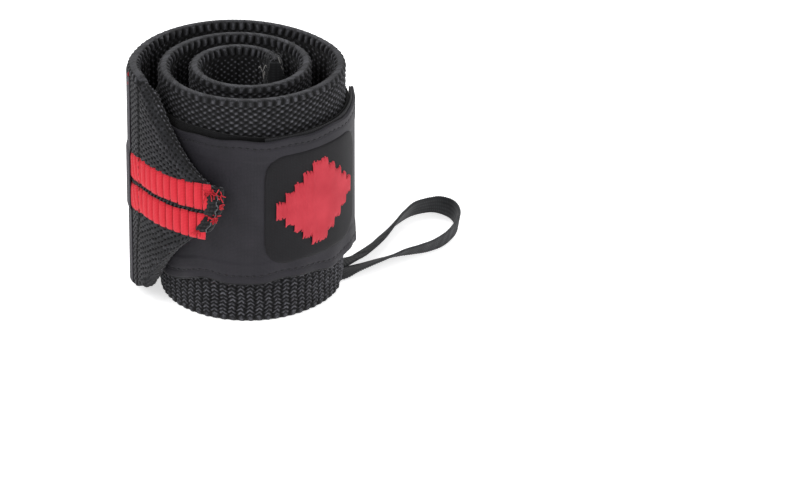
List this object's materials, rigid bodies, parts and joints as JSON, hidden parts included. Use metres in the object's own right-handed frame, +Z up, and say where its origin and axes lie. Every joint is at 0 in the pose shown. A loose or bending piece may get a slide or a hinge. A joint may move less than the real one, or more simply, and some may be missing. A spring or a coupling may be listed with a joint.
{
  "type": "rolled elastic wrist wrap",
  "caption": "Lifting wrist wrap of thick ribbed elastic webbing with twin red stripes, rolled on edge, with an arrow end, hook-and-loop tab and thumb loop.",
  "frame": {"origin": "middle of the bounding box's underside, on the floor the roll stands on", "axes": "+Z up along the roll's axis, -Y the front with the fastening tab, +X the side the thumb loop leaves by"},
  "size_m": [0.1078, 0.0848, 0.0784],
  "materials": {
    "elastic_webbing": "matte",
    "red_ribbed_weave": "matte",
    "tack_thread": "satin",
    "loop_pile": "matte",
    "label_weave": "satin",
    "tab_weave": "satin",
    "hook_nylon": "matte",
    "patch_weave": "satin",
    "emblem_thread": "satin",
    "polyester_tape": "matte"
  },
  "bodies": {
    "root": {"elastic_band": "elastic_webbing", "stripe_lower": "red_ribbed_weave", "stripe_upper": "red_ribbed_weave", "bar_tack": "tack_thread", "loop_patch": "loop_pile", "woven_label": "label_weave", "fastening_tab": "tab_weave", "hook_tape": "hook_nylon", "emblem_patch": "patch_weave", "emblem_lozenge": "emblem_thread", "end_binding": "polyester_tape", "thumb_loop": "polyester_tape"}
  },
  "joints": []
}
